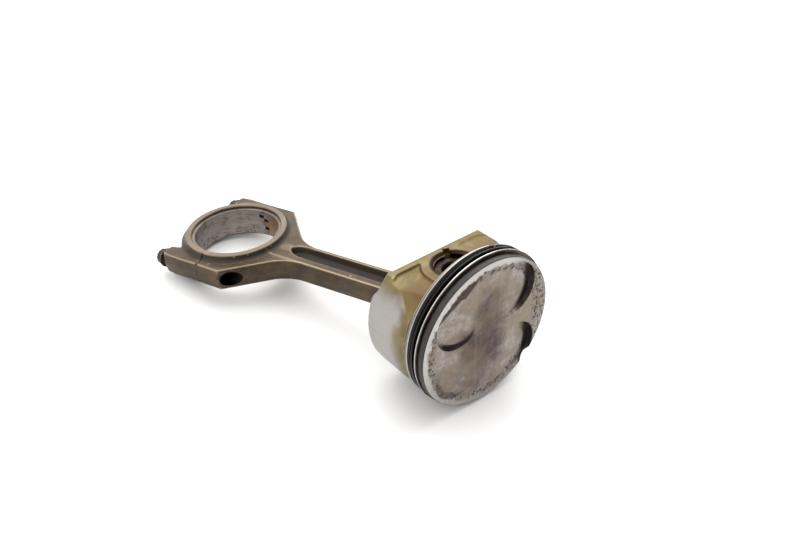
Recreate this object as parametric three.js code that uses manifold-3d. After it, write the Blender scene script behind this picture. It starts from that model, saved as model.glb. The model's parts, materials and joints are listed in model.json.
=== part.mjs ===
// Connecting rod with its piston, lying on its side as it rests on a bench.
//
// Rod frame: origin at the centre of the crankpin bore, +X along the rod to the
// wrist pin, +Z along the crankpin bore. Piston frame: origin at the middle of the
// wrist pin, +X towards the crown, +Z along the pin. Millimetres throughout.

import * as THREE from "three";
import { mergeVertices } from "three/addons/utils/BufferGeometryUtils.js";
import Module from "manifold-3d";

const wasm = await Module();
wasm.setup();

// ---------------------------------------------------------------- driving sizes

const GAP = 0.3;             // gap kept between separate pieces
const SPLIT = GAP / 2;       // half the gap at the parting face of rod and cap
const PAST = 1;              // how far a cutting tool runs past the face it cuts

const ROUND = 64;            // facets round the piston and the big end
const FINE = 48;             // facets round the pin, the bush and their bores
const SMALL = 24;            // facets round bolts and their holes

const rod = {
  centres: 147.5,            // crankpin axis to wrist pin axis
  bore: 26.8,                // radius of the housing bore in the big end
  halfWidth: 10.5,           // half the width over the thrust faces
  thrustRadius: 30.4,        // outer radius of the thrust faces
  half: 6.6,                 // half the thickness of the forging
  reach: 37.6,               // bolt boss, side to centre line
  corner: 16.3,              // where the boss ends and the shoulder starts
  shoulderEnd: [37, 16.8],   // end of the straight shoulder
  shankStart: [54, 9.4],     // shank's root, where the shoulder's curve ends
  bendShare: 0.74,           // place of that curve's bend between corner and root
  shankEnd: 9.3,             // half the shank's width at the small end
  webHalf: 2.2,              // half the web between the two channels
  smallEnd: 16.5,            // outer radius of the small end
  smallHalf: 9.8,            // half the small end's width
};

// Channel between the flanges: half widths at mouth, root and tip; end is kept from the pin.
const channel = { start: 38, mouth: 8.2, neck: 52, bend: 6, root: 5, tip: 4.8, end: 18.5 };

const cap = { archRadius: 34.2, bossRadius: 6.6, bossEnd: 27.6 };

const bolt = {
  y: 32.3, hole: 4.6, shank: 4.3, tip: 13,
  flange: 5.7, flangeDepth: 1.4,
  head: 4.9, valley: 4.4, headDepth: 4.4, points: 12,
};

const shell = { thickness: 1.5, half: 8.9 };

const pin = { radius: 10.5, hollow: 6.2, half: 26.7 };

const bush = { wall: 1.3, half: 9.5 };

const running = 0.25;        // radial clearance of the wrist pin in bush and bosses

const piston = {
  radius: 43,
  landRadius: 42.7,          // lands between the rings are a little smaller
  crown: 25,                 // crown face above the pin
  skirtEnd: 19.5,            // thrust skirt below the pin
  wallEnd: 16.5,             // side wall below the pin
  wall: 30,                  // flat side walls, from the centre line
  flange: 10.9,              // underside of the round ring belt
  beltBore: 35,              // inner radius behind the ring belt
  skirtBore: 39.2,           // inner radius behind the skirt
  roof: 18,                  // inside face of the crown
  cavityHalf: 23.4,          // inside face of the side walls
  bossFace: 10.8,            // gap face of a pin boss
  bossRadius: 16,
  pocketRadius: 17.2,        // relief beside the boss starts here
  pocketFloor: 27,
  pocketEnd: 12.4,
  pocketReach: 33,
  pocketInner: 4,
  pocketCorner: 5,
  crownEdge: 0.4,            // chamfer round the crown
  beltBlend: 4,              // slope behind the ring belt
  roofBlend: 2,              // chamfer under the crown
  columnHalf: 13,            // web that ties a boss to the crown
  skirtHalf: 18,             // half the width of the skirt's hanging edge
  skirtRise: 22,             // where that edge has risen to the side wall's edge
};

// Valve pockets: the middle [y, z], the radius and the slope of the floor.
const creaseY = 8;
const valvePockets = [
  { y: 18, z: 18, radius: 15.3, slope: 7.2 },
  { y: 18, z: -18, radius: 15.3, slope: 7.2 },
  { y: -20, z: 16, radius: 13.2, slope: -7 },
  { y: -20, z: -16, radius: 13.2, slope: -7 },
];

// Ring grooves from the crown down: faces along the piston's axis, and root radius.
const grooves = [
  { top: 21.2, bottom: 19.4, root: 38.6 },
  { top: 18.2, bottom: 16.4, root: 38.6 },
  { top: 15.4, bottom: 12.2, root: 38.0 },
];

// Rings: crown-side face, height, outer radius, radial wall, sideways sag of the
// ring in its groove [y, z], direction of the end gap and the gap's half angle.
const rings = [
  { name: "top_compression_ring", top: 20.9, height: 1.2, radius: 43.9, wall: 3.4,
    sag: [0.1, 0.7], gapAt: 300, gapHalf: 2.2 },
  { name: "second_compression_ring", top: 17.9, height: 1.2, radius: 43.6, wall: 3.4,
    sag: [-0.1, 1.1], gapAt: 60, gapHalf: 2.4 },
  { name: "oil_ring_upper_rail", top: 15.1, height: 0.8, radius: 43.6, wall: 2.6,
    sag: [-0.8, 1.7], gapAt: 74, gapHalf: 3 },
  { name: "oil_ring_expander", top: 14.1, height: 0.6, radius: 42.2, wall: 3.2,
    sag: [0, 0], gapAt: 150, gapHalf: 1.2 },
  { name: "oil_ring_lower_rail", top: 13.2, height: 0.7, radius: 43.1, wall: 2.6,
    sag: [0, 0.5], gapAt: 99, gapHalf: 1.6 },
];

const circlip = { outer: 11.6, inner: 9.9, inside: 27.4, thickness: 1, gapHalf: 32, gapAt: 135 };
const circlipGroove = { radius: 11.9, inside: 27.1, outside: 28.7 };
const mouth = { radius: 12.1, depth: 1 };
const notch = { width: 4, reach: 14.6, depth: 3.2, at: 135 };

const pistonSwing = THREE.MathUtils.degToRad(-21.8);   // how far the piston has swung on its pin
const firstGuess = [10, -1];                           // lean and roll of the lying part, degrees

// ------------------------------------------------------------------- small tools

function solidOf(geometry) {
  const plain = geometry.index ? geometry.toNonIndexed() : geometry.clone();
  plain.deleteAttribute("normal");
  plain.deleteAttribute("uv");
  const merged = mergeVertices(plain, 1e-4);
  return new wasm.Manifold(new wasm.Mesh({
    numProp: 3,
    vertProperties: new Float32Array(merged.attributes.position.array),
    triVerts: new Uint32Array(merged.index.array),
  }));
}

function geometryOf(solid) {
  const mesh = solid.getMesh();
  const corners = new Float32Array(mesh.triVerts.length * 3);
  mesh.triVerts.forEach((vertex, i) => {
    for (let k = 0; k < 3; k += 1) corners[3 * i + k] = mesh.vertProperties[mesh.numProp * vertex + k];
  });
  const geometry = new THREE.BufferGeometry();
  geometry.setAttribute("position", new THREE.BufferAttribute(corners, 3));
  geometry.computeVertexNormals();
  return geometry;
}

const join = (first, ...others) => others.reduce((all, next) => all.add(next), first);
const cut = (first, ...tools) => tools.reduce((rest, tool) => rest.subtract(tool), first);

function boxShape(x0, x1, y0, y1, z0, z1) {
  const box = new THREE.BoxGeometry(x1 - x0, y1 - y0, z1 - z0);
  return box.translate((x0 + x1) / 2, (y0 + y1) / 2, (z0 + z1) / 2);
}

const block = (...sides) => solidOf(boxShape(...sides));

function prism(shape, z0, z1, curveSegments = SMALL) {
  const slab = new THREE.ExtrudeGeometry(shape, { depth: z1 - z0, bevelEnabled: false, curveSegments });
  return slab.translate(0, 0, z0);
}

// A round bar along Z, from z0 to z1, which may taper.
function barZ(radius, z0, z1, facets, endRadius = radius) {
  const bar = new THREE.CylinderGeometry(endRadius, radius, z1 - z0, facets);
  return bar.rotateX(Math.PI / 2).translate(0, 0, (z0 + z1) / 2);
}

// The same bar along X at a given y.
function barX(radius, x0, x1, facets, y = 0) {
  return solidOf(barZ(radius, x0, x1, facets).rotateY(Math.PI / 2).translate(0, y, 0));
}

// A tube along Z made as one closed ring profile.
function tubeZ(inner, outer, z0, z1, facets) {
  const profile = [[inner, z0], [outer, z0], [outer, z1], [inner, z1], [inner, z0]];
  const points = profile.map(([r, z]) => new THREE.Vector2(r, z));
  return new THREE.LatheGeometry(points, facets).rotateX(Math.PI / 2);
}

// A flat ring with an end gap, lying in XY between z0 and z1.
function splitRing(inner, outer, z0, z1, gapAt, gapHalf, facets) {
  const start = THREE.MathUtils.degToRad(gapAt + gapHalf);
  const end = THREE.MathUtils.degToRad(gapAt + 360 - gapHalf);
  const shape = new THREE.Shape();
  shape.absarc(0, 0, outer, start, end, false);
  shape.absarc(0, 0, inner, end, start, true);
  return prism(shape, z0, z1, facets);
}

// Colour, roughness and metalness of each finish, and its density in g/cm3.
const finishes = {
  forging: [0x6e5f50, 0.5, 0.85, 7.85],
  bolt: [0x35302c, 0.45, 0.8, 7.85],
  bearing: [0xa39c9b, 0.35, 0.9, 7.6],
  bush: [0x9c7440, 0.4, 0.9, 8.8],
  pin: [0x8c8a88, 0.2, 1, 7.85],
  clip: [0x55504a, 0.4, 0.9, 7.85],
  piston: [0x9a9184, 0.45, 0.8, 2.7],
  ring: [0x5a5651, 0.3, 0.9, 7.3],
};

function piece(name, shape, finish) {
  const geometry = shape.isBufferGeometry ? shape : geometryOf(shape);
  const [color, roughness, metalness, density] = finishes[finish];
  const mesh = new THREE.Mesh(geometry, new THREE.MeshStandardMaterial({ color, roughness, metalness }));
  mesh.name = name;
  mesh.userData.density = density;
  return mesh;
}

// ----------------------------------------------------------------- rod and cap

// One side of the big end, keeping x above SPLIT (side 1) or below it (side -1).
function halfOf(geometry, side) {
  const near = side * SPLIT;
  const far = side * (rod.centres + rod.smallEnd);
  const wide = rod.centres;
  const keep = block(Math.min(near, far), Math.max(near, far), -wide, wide, -wide, wide);
  return solidOf(geometry).intersect(keep);
}

function rodOutline() {
  const [shoulderX, shoulderY] = rod.shoulderEnd;
  const [rootX, rootY] = rod.shankStart;
  const bendX = rod.corner + (rootX - rod.corner) * rod.bendShare;
  const shape = new THREE.Shape();
  shape.moveTo(SPLIT, -rod.reach);
  shape.lineTo(rod.corner, -rod.reach);
  shape.lineTo(shoulderX, -shoulderY);
  shape.quadraticCurveTo(bendX, -rootY, rootX, -rootY);
  shape.lineTo(rod.centres, -rod.shankEnd);
  shape.lineTo(rod.centres, rod.shankEnd);
  shape.lineTo(rootX, rootY);
  shape.quadraticCurveTo(bendX, rootY, shoulderX, shoulderY);
  shape.lineTo(rod.corner, rod.reach);
  shape.lineTo(SPLIT, rod.reach);
  shape.closePath();
  return shape;
}

function channelOutline() {
  const end = rod.centres - channel.end;
  const shape = new THREE.Shape();
  shape.moveTo(channel.start, -channel.mouth);
  shape.quadraticCurveTo(channel.neck - channel.bend, -channel.root, channel.neck, -channel.root);
  shape.lineTo(end, -channel.tip);
  shape.lineTo(end, channel.tip);
  shape.lineTo(channel.neck, channel.root);
  shape.quadraticCurveTo(channel.neck - channel.bend, channel.root, channel.start, channel.mouth);
  shape.closePath();
  return shape;
}

function boltHole(y) {
  return barX(bolt.hole, -cap.bossEnd - PAST, rod.shankStart[0], SMALL, y);
}

function rodBody() {
  const forging = join(
    solidOf(prism(rodOutline(), -rod.half, rod.half, 10)),
    halfOf(barZ(rod.thrustRadius, -rod.halfWidth, rod.halfWidth, ROUND), 1),
    solidOf(barZ(rod.smallEnd, -rod.smallHalf, rod.smallHalf, FINE).translate(rod.centres, 0, 0)),
  );
  const bushSeat = pin.radius + running + bush.wall + GAP;
  return cut(
    forging,
    solidOf(barZ(rod.bore, -rod.halfWidth - PAST, rod.halfWidth + PAST, ROUND)),
    solidOf(barZ(bushSeat, -rod.smallHalf - PAST, rod.smallHalf + PAST, FINE).translate(rod.centres, 0, 0)),
    solidOf(prism(channelOutline(), rod.webHalf, rod.half + PAST, 8)),
    solidOf(prism(channelOutline(), -rod.half - PAST, -rod.webHalf, 8)),
    boltHole(-bolt.y),
    boltHole(bolt.y),
  );
}

function rodCap() {
  const arch = join(
    halfOf(barZ(cap.archRadius, -rod.half, rod.half, ROUND), -1),
    halfOf(barZ(rod.thrustRadius, -rod.halfWidth, rod.halfWidth, ROUND), -1),
    barX(cap.bossRadius, -cap.bossEnd, -SPLIT, SMALL, -bolt.y),
    barX(cap.bossRadius, -cap.bossEnd, -SPLIT, SMALL, bolt.y),
  );
  return cut(
    arch,
    solidOf(barZ(rod.bore, -rod.halfWidth - PAST, rod.halfWidth + PAST, ROUND)),
    boltHole(-bolt.y),
    boltHole(bolt.y),
  );
}

// A flanged bolt with a twelve-point head, its head towards -X.
function capBolt(y) {
  const seat = -cap.bossEnd - GAP;
  const headStart = seat - bolt.flangeDepth;
  const outline = [];
  for (let i = 0; i < 2 * bolt.points; i += 1) {
    const angle = (Math.PI * i) / bolt.points;
    const radius = i % 2 ? bolt.valley : bolt.head;
    outline.push(new THREE.Vector2(radius * Math.cos(angle), radius * Math.sin(angle)));
  }
  const head = prism(new THREE.Shape(outline), headStart - bolt.headDepth, headStart + PAST);
  return join(
    solidOf(head.rotateY(Math.PI / 2).translate(0, y, 0)),
    barX(bolt.flange, headStart, seat, SMALL, y),
    barX(bolt.shank, seat - PAST, bolt.tip, SMALL, y),
  );
}

function bearingShell(side) {
  const outer = rod.bore - GAP;
  return halfOf(tubeZ(outer - shell.thickness, outer, -shell.half, shell.half, ROUND), side);
}

function smallEndBush() {
  const inner = pin.radius + running;
  return tubeZ(inner, inner + bush.wall, -bush.half, bush.half, FINE).translate(rod.centres, 0, 0);
}

// ----------------------------------------------------------------------- piston

// Revolves [radius, x] points about the piston's axis.
function turnedX(points, facets) {
  const profile = points.map(([radius, x]) => new THREE.Vector2(radius, x));
  return solidOf(new THREE.LatheGeometry(profile, facets).rotateZ(-Math.PI / 2));
}

function pistonBlank() {
  const { crown, crownEdge, landRadius } = piston;
  const profile = [[0, -piston.skirtEnd], [piston.radius, -piston.skirtEnd]];
  [...grooves].reverse().forEach((groove, i) => {
    const below = i === 0 ? piston.radius : landRadius;
    profile.push([below, groove.bottom], [groove.root, groove.bottom]);
    profile.push([groove.root, groove.top], [landRadius, groove.top]);
  });
  profile.push([landRadius, crown - crownEdge], [landRadius - crownEdge, crown], [0, crown]);
  return turnedX(profile, ROUND);
}

// What is cut off outside one flat side wall, below the round ring belt.
function sideFlat(side) {
  const far = piston.radius + PAST;
  const z0 = side > 0 ? piston.wall : -far;
  const z1 = side > 0 ? far : -piston.wall;
  return block(-piston.skirtEnd - PAST, piston.flange, -far, far, z0, z1);
}

// What is cut off the open end, so that the skirt hangs lower than the side walls.
function skirtTrim(side) {
  const far = piston.radius + PAST;
  const shape = new THREE.Shape();
  shape.moveTo(-piston.skirtEnd - PAST, side * piston.skirtHalf);
  shape.lineTo(-piston.skirtEnd, side * piston.skirtHalf);
  shape.lineTo(-piston.wallEnd, side * piston.skirtRise);
  shape.lineTo(-piston.wallEnd, side * far);
  shape.lineTo(-piston.skirtEnd - PAST, side * far);
  shape.closePath();
  return solidOf(prism(shape, -far, far).rotateX(Math.PI / 2));
}

// The hollow inside the piston, less the two pin bosses that stand in it.
function pistonHollow() {
  const below = -piston.skirtEnd - PAST;
  const half = piston.cavityHalf;
  const round = turnedX([
    [0, below], [piston.skirtBore, below],
    [piston.skirtBore, piston.flange - piston.beltBlend],
    [piston.beltBore, piston.flange], [piston.beltBore, piston.roof - piston.roofBlend],
    [piston.beltBore - piston.roofBlend, piston.roof], [0, piston.roof],
  ], FINE);
  const between = block(below, piston.roof + PAST, -piston.radius, piston.radius, -half, half);
  const hollow = round.intersect(between);
  const bosses = [-1, 1].flatMap((side) => {
    const z0 = side > 0 ? piston.bossFace : -half - PAST;
    const z1 = side > 0 ? half + PAST : -piston.bossFace;
    return [
      solidOf(barZ(piston.bossRadius, z0, z1, FINE)),
      block(0, piston.roof + PAST, -piston.columnHalf, piston.columnHalf, z0, z1),
    ];
  });
  return cut(hollow, ...bosses);
}

// The shallow relief beside the pin boss, on one side wall.
function wallPocket(side, hand) {
  const shape = new THREE.Shape();
  shape.moveTo(-piston.pocketEnd, hand * piston.pocketInner);
  shape.lineTo(-piston.pocketEnd, hand * (piston.pocketReach - piston.pocketCorner));
  shape.lineTo(-piston.pocketEnd + piston.pocketCorner, hand * piston.pocketReach);
  shape.lineTo(piston.flange, hand * piston.pocketReach);
  shape.lineTo(piston.flange, hand * piston.pocketInner);
  shape.closePath();
  const z0 = side > 0 ? piston.pocketFloor : -piston.wall - PAST;
  const z1 = side > 0 ? piston.wall + PAST : -piston.pocketFloor;
  const boss = solidOf(barZ(piston.pocketRadius, z0 - PAST, z1 + PAST, FINE));
  return solidOf(prism(shape, z0, z1)).subtract(boss);
}

// A round pocket whose floor falls away outwards from the crown's crease line.
function valvePocket({ y, z, radius, slope }) {
  const height = 12;
  const tilt = THREE.MathUtils.degToRad(slope);
  const crease = Math.sign(y) * creaseY;
  const tool = new THREE.CylinderGeometry(radius, radius, height, FINE);
  tool.rotateZ(-Math.PI / 2).translate(height / 2, y - crease, z);
  tool.rotateZ(tilt);
  return solidOf(tool.translate(piston.crown, crease, 0));
}

function pinBore() {
  const half = piston.wall + PAST;
  const bore = solidOf(barZ(pin.radius + running, -half, half, FINE));
  const ends = [-1, 1].flatMap((side) => {
    const { inside, outside } = circlipGroove;
    const groove = side > 0 ? [inside, outside] : [-outside, -inside];
    const slot = boxShape(0, notch.reach, -notch.width / 2, notch.width / 2,
      side > 0 ? piston.wall - notch.depth : -piston.wall - PAST,
      side > 0 ? piston.wall + PAST : notch.depth - piston.wall);
    const inner = side > 0 ? pin.radius : mouth.radius;
    const outer = side > 0 ? mouth.radius : pin.radius;
    const z0 = side > 0 ? piston.wall - mouth.depth - PAST : -piston.wall;
    const z1 = side > 0 ? piston.wall : -piston.wall + mouth.depth + PAST;
    return [
      solidOf(barZ(circlipGroove.radius, groove[0], groove[1], FINE)),
      solidOf(barZ(inner, z0, z1, FINE, outer)),
      solidOf(slot.rotateZ(THREE.MathUtils.degToRad(notch.at))),
    ];
  });
  return join(bore, ...ends);
}

function pistonBody() {
  return cut(
    pistonBlank(),
    sideFlat(1), sideFlat(-1),
    skirtTrim(1), skirtTrim(-1),
    pistonHollow(),
    wallPocket(1, 1), wallPocket(1, -1), wallPocket(-1, 1), wallPocket(-1, -1),
    ...valvePockets.map(valvePocket),
    pinBore(),
  );
}

function wristPin() {
  return tubeZ(pin.hollow, pin.radius, -pin.half, pin.half, FINE);
}

function pinClip(side) {
  const { inner, outer, inside, thickness, gapAt, gapHalf } = circlip;
  const z0 = side > 0 ? inside : -inside - thickness;
  return splitRing(inner, outer, z0, z0 + thickness, gapAt, gapHalf, SMALL);
}

// A piston ring, turned so that its axis lies along X, resting in its groove.
function pistonRing({ name, top, height, radius, wall, sag, gapAt, gapHalf }) {
  const ring = splitRing(radius - wall, radius, -height, 0, gapAt - 90, gapHalf, ROUND);
  const mesh = piece(name, ring.rotateX(-Math.PI / 2).rotateZ(-Math.PI / 2), "ring");
  mesh.position.set(top, ...sag);
  return mesh;
}

// -------------------------------------------------------------------- assembly

const rodGroup = new THREE.Group();
rodGroup.add(
  piece("rod_body", rodBody(), "forging"),
  piece("rod_cap", rodCap(), "forging"),
  piece("cap_bolt_near", capBolt(-bolt.y), "bolt"),
  piece("cap_bolt_far", capBolt(bolt.y), "bolt"),
  piece("bearing_shell_upper", bearingShell(1), "bearing"),
  piece("bearing_shell_lower", bearingShell(-1), "bearing"),
  piece("small_end_bush", smallEndBush(), "bush"),
);

const pistonGroup = new THREE.Group();
pistonGroup.position.x = rod.centres;
pistonGroup.rotation.z = pistonSwing;
pistonGroup.add(
  piece("piston", pistonBody(), "piston"),
  piece("wrist_pin", wristPin(), "pin"),
  piece("circlip_upper", pinClip(1), "clip"),
  piece("circlip_lower", pinClip(-1), "clip"),
  ...rings.map(pistonRing),
);

const assembly = new THREE.Group();
assembly.add(rodGroup, pistonGroup);

// Every triangle of the assembly as three corners, each with its piece's density.
function allTriangles() {
  assembly.updateWorldMatrix(true, true);
  const triangles = [];
  assembly.traverse((child) => {
    if (!child.isMesh) return;
    const plain = child.geometry.index ? child.geometry.toNonIndexed() : child.geometry;
    const places = plain.attributes.position;
    const corner = (i) => new THREE.Vector3().fromBufferAttribute(places, i).applyMatrix4(child.matrixWorld);
    for (let i = 0; i < places.count; i += 3) {
      triangles.push({ corners: [corner(i), corner(i + 1), corner(i + 2)], density: child.userData.density });
    }
  });
  return triangles;
}

function centreOfMass(triangles) {
  const sum = new THREE.Vector3();
  let total = 0;
  triangles.forEach(({ corners: [a, b, c], density }) => {
    const mass = a.dot(b.clone().cross(c)) * density;
    total += mass;
    sum.addScaledVector(a, mass / 4).addScaledVector(b, mass / 4).addScaledVector(c, mass / 4);
  });
  return sum.divideScalar(total);
}

// Left alone, the part rolls and tips until its centre of mass is as low as it goes.
// The search turns the up direction in ever smaller steps from a first guess.
function upWhenLying(triangles) {
  const centre = centreOfMass(triangles);
  const points = triangles.flatMap(({ corners }) => corners);
  const direction = ([lean, roll]) => new THREE.Vector3(Math.sin(lean), Math.sin(roll), 1).normalize();
  const height = (angles) => {
    const up = direction(angles);
    return centre.dot(up) - points.reduce((least, point) => Math.min(least, point.dot(up)), Infinity);
  };
  let best = firstGuess.map(THREE.MathUtils.degToRad);
  for (let step = THREE.MathUtils.degToRad(1); step > 1e-5; step /= 2) {
    for (let moved = true; moved;) {
      moved = false;
      for (const [lean, roll] of [[1, 0], [-1, 0], [0, 1], [0, -1], [1, -1], [-1, 1]]) {
        const next = [best[0] + lean * step, best[1] + roll * step];
        if (height(next) >= height(best)) continue;
        best = next;
        moved = true;
      }
    }
  }
  return direction(best);
}

function layDown() {
  const triangles = allTriangles();
  const up = upWhenLying(triangles);
  const sideways = up.clone().cross(new THREE.Vector3(1, 0, 0)).normalize();
  const along = sideways.clone().cross(up);
  const turn = new THREE.Matrix4().makeBasis(along, sideways, up).transpose();
  assembly.quaternion.setFromRotationMatrix(turn);
  const box = new THREE.Box3();
  triangles.forEach(({ corners }) => {
    corners.forEach((corner) => box.expandByPoint(corner.clone().applyMatrix4(turn)));
  });
  const middle = box.getCenter(new THREE.Vector3());
  assembly.position.set(-middle.x, -middle.y, -box.min.z);
}

layDown();

export default assembly;
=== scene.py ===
"""Used connecting rod with its piston, lying on its side on a pale bench.

Two working frames are used, both in millimetres. Rod frame: origin at the centre of
the crankpin bore, +X along the rod, +Z along the bore. Piston frame: origin at the
middle of the wrist pin, +X towards the crown, +Z along the pin. Each piece is shaped
in its own working frame and then moved into place as a mesh.
"""

import json
import math

import bmesh
import bpy
from bpy.props import FloatProperty, FloatVectorProperty, PointerProperty
from mathutils import Matrix, Quaternion, Vector


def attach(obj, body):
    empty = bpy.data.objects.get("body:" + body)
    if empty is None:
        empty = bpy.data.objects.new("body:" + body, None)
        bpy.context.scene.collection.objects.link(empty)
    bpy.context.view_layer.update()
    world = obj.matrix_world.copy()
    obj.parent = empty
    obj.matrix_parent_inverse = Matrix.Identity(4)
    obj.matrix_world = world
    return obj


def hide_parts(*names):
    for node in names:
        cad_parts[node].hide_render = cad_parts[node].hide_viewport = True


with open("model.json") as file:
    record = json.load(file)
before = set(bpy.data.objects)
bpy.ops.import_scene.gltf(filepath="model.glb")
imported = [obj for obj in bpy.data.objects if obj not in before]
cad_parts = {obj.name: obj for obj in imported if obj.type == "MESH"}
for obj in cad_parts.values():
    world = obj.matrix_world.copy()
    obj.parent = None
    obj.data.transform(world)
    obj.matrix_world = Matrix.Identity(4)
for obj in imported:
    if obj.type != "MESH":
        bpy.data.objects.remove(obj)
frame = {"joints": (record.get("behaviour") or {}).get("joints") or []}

bl_info = {
    "name": "Connecting rod and piston",
    "version": (1, 0, 0),
    "blender": (4, 5, 0),
    "location": "3D View > Sidebar > Rod",
    "description": "Builds a used connecting rod with its piston around a CAD frame",
    "category": "Object",
}

MM = 0.001
FULL_TURN = 2 * math.pi
JOIN = 1e-4  # corners closer than this are one corner
PAST = 1.5  # how far a cutting tool runs past the face that it cuts
OVERLAP = 6  # rod and cap are shaped this far past the plane between them, then cut
SPLIT = 0.1  # each ends this far short of that plane
ROUND = 192  # steps round the bores of the big end
BELOW_FACE = 0.3  # the forging round the bore stops this far below the thrust faces
BOLT_Y = 32.3  # the rod's centre line to a bolt's axis
HEIGHTS = (-30, 30)  # below and above the whole object, along a bore
SIDE = 60  # beyond the object's sides, across the rod

JOINTS = {joint["name"]: joint for joint in frame["joints"]}
PIN_CENTRE = Vector(JOINTS["piston_swing"]["pos_m"])
PIN_AXIS = Vector(JOINTS["piston_swing"]["axis"]).normalized()
PISTON_AXIS = Vector(JOINTS["top_ring_turn"]["axis"]).normalized()
SWING = math.radians(21.8)  # how far the piston has swung from the line of the rod
ROD_AXIS = Quaternion(PIN_AXIS, SWING) @ PISTON_AXIS
CENTRES = 147.5  # crankpin axis to wrist pin axis


def working_frame(origin, x_axis):
    """The matrix from a working frame in millimetres to the row frame in metres."""
    y_axis = PIN_AXIS.cross(x_axis)
    place = Matrix((x_axis, y_axis, PIN_AXIS)).transposed().to_4x4()
    place.translation = origin
    return place @ Matrix.Scale(MM, 4)


ROD = working_frame(PIN_CENTRE - ROD_AXIS * CENTRES * MM, ROD_AXIS)
PISTON = working_frame(PIN_CENTRE, PISTON_AXIS)

# Turns a shape made along Z so that it lies along X, with X and Y becoming Y and Z.
Z_TO_X = Matrix(((0, 0, 1, 0), (1, 0, 0, 0), (0, 1, 0, 0), (0, 0, 0, 1)))
# The same, on the axis of each cap bolt.
BOLT_AXES = [Matrix.Translation((0, y, 0)) @ Z_TO_X for y in (-BOLT_Y, BOLT_Y)]

# Rings: crown-side face, height, outer radius, radial wall, sag in the groove (y, z),
# direction of the end gap and half of the gap, in degrees.
RINGS = {
    "top_compression_ring": (20.9, 1.2, 43.9, 3.4, (0.1, 0.7), 300, 2.2),
    "second_compression_ring": (17.9, 1.2, 43.6, 3.4, (-0.1, 1.1), 60, 2.4),
    "oil_ring_upper_rail": (15.1, 0.8, 43.6, 2.6, (-0.8, 1.7), 74, 3.0),
    "oil_ring_expander": (14.1, 0.6, 42.2, 3.2, (0.0, 0.0), 150, 1.2),
    "oil_ring_lower_rail": (13.2, 0.7, 43.1, 2.6, (0.0, 0.5), 99, 1.6),
}
GROOVES = ((12.2, 15.4, 38.0), (16.4, 18.2, 38.6), (19.4, 21.2, 38.6))

# Valve pockets: middle (y, z), radius and slope of the floor in degrees.
POCKETS = (
    (16.8, 18.9, 15.9, 7.4),
    (18.9, -20.2, 15.7, 7.4),
    (-19.0, 15.6, 14.6, 8.0),
    (-20.0, -16.5, 14.6, 4.0),
)

# Soot in each pocket: how dark, how wide, and the direction (y, z) of its wall.
POCKET_SOOT = (
    (0.95, 4.2, 1.0, -0.25),
    (1.0, 4.2, 1.0, -0.1),
    (1.1, 2.0, 0.2, -1.0),
    (0.45, 3.0, -0.8, -0.6),
)


# ------------------------------------------------------------------ user settings


def length(name, description, millimetres):
    return FloatProperty(
        name=name, description=description, default=millimetres * MM, unit="LENGTH"
    )


def colour(name, description, value):
    return FloatVectorProperty(
        name=name, description=description, default=value, subtype="COLOR", size=3,
        min=0, max=1,
    )


def angle(name, description, degrees):
    return FloatProperty(
        name=name, description=description, default=math.radians(degrees),
        subtype="ANGLE",
    )


class RodSizes(bpy.types.PropertyGroup):
    forging_half: length("Forging half", "Half the thickness of the forging", 6.6)
    thrust_half: length("Thrust half", "Half the width over the thrust faces", 10.5)
    bore: length("Housing bore", "Radius of the housing bore in the big end", 26.8)
    draft: length("Draft", "How far the forging narrows to its top and bottom", 1.0)
    web_half: length("Web half", "Half the web between the two channels", 2.2)
    skin: length("Forging grain", "Size of the cells that round the forging", 0.55)


class PistonSizes(bpy.types.PropertyGroup):
    radius: length("Skirt radius", "Radius over the thrust skirt", 43.0)
    land: length("Land radius", "Radius of the lands between the rings", 42.7)
    crown: length("Crown height", "Crown face above the wrist pin", 25.0)
    crease: length("Crease", "Where the valve pockets start beside the middle", 8.0)
    pocket_wall: length("Pocket wall", "Width of a valve pocket's sloping wall", 1.0)
    skin: length("Casting grain", "Size of the cells that round the casting", 0.62)


class Finishes(bpy.types.PropertyGroup):
    steel: colour("Forged steel", "Oil-stained forging", (0.052, 0.037, 0.023))
    steel_edge: colour("Worn edge", "Rubbed edges of the forging", (0.36, 0.28, 0.19))
    grime_shade_colour: colour("Grime", "Baked oil in hollows", (0.013, 0.009, 0.006))
    # Grime colour, also used as painted shade on the rod's channel floors and the collar
    # foot.
    machined: colour("Machined steel", "Thrust faces and bores", (0.16, 0.125, 0.09))
    bearing: colour("Bearing metal", "Running face of the shells", (0.31, 0.278, 0.252))
    bronze: colour("Bronze", "Worn overlay and the bush", (0.30, 0.17, 0.07))
    alloy: colour("Alloy", "Clean piston alloy", (0.315, 0.296, 0.278))
    varnish: colour("Varnish", "Oil varnish on the casting", (0.118, 0.08, 0.026))
    carbon: colour("Carbon", "Combustion deposit", (0.058, 0.036, 0.04))
    # Soot colour, also standing in as painted shade on the lands and grooves between the
    # rings.
    soot: colour("Soot", "Black deposit in the ring belt", (0.012, 0.010, 0.010))


class StudioSizes(bpy.types.PropertyGroup):
    azimuth: angle("Azimuth", "Camera's direction round the object", 24.9)
    elevation: angle("Elevation", "Camera's height above the horizon", 39.3)
    roll: angle("Roll", "Camera's tilt to one side", 8.2)
    distance: length("Distance", "Camera to the point that it looks at", 422.2)
    lens: FloatProperty(name="Lens", description="Focal length in mm", default=32.6)
    sky: FloatProperty(name="Sky", description="Strength of the even light", default=0.86)
    key: FloatProperty(name="Key light", description="Power in watts", default=15.0)


def sizes(group):
    """The group's lengths in millimetres, by name."""
    settings = getattr(bpy.context.scene, group)
    return {name: getattr(settings, name) / MM for name in settings.__annotations__}


# ---------------------------------------------------------------------- mesh tools


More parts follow.
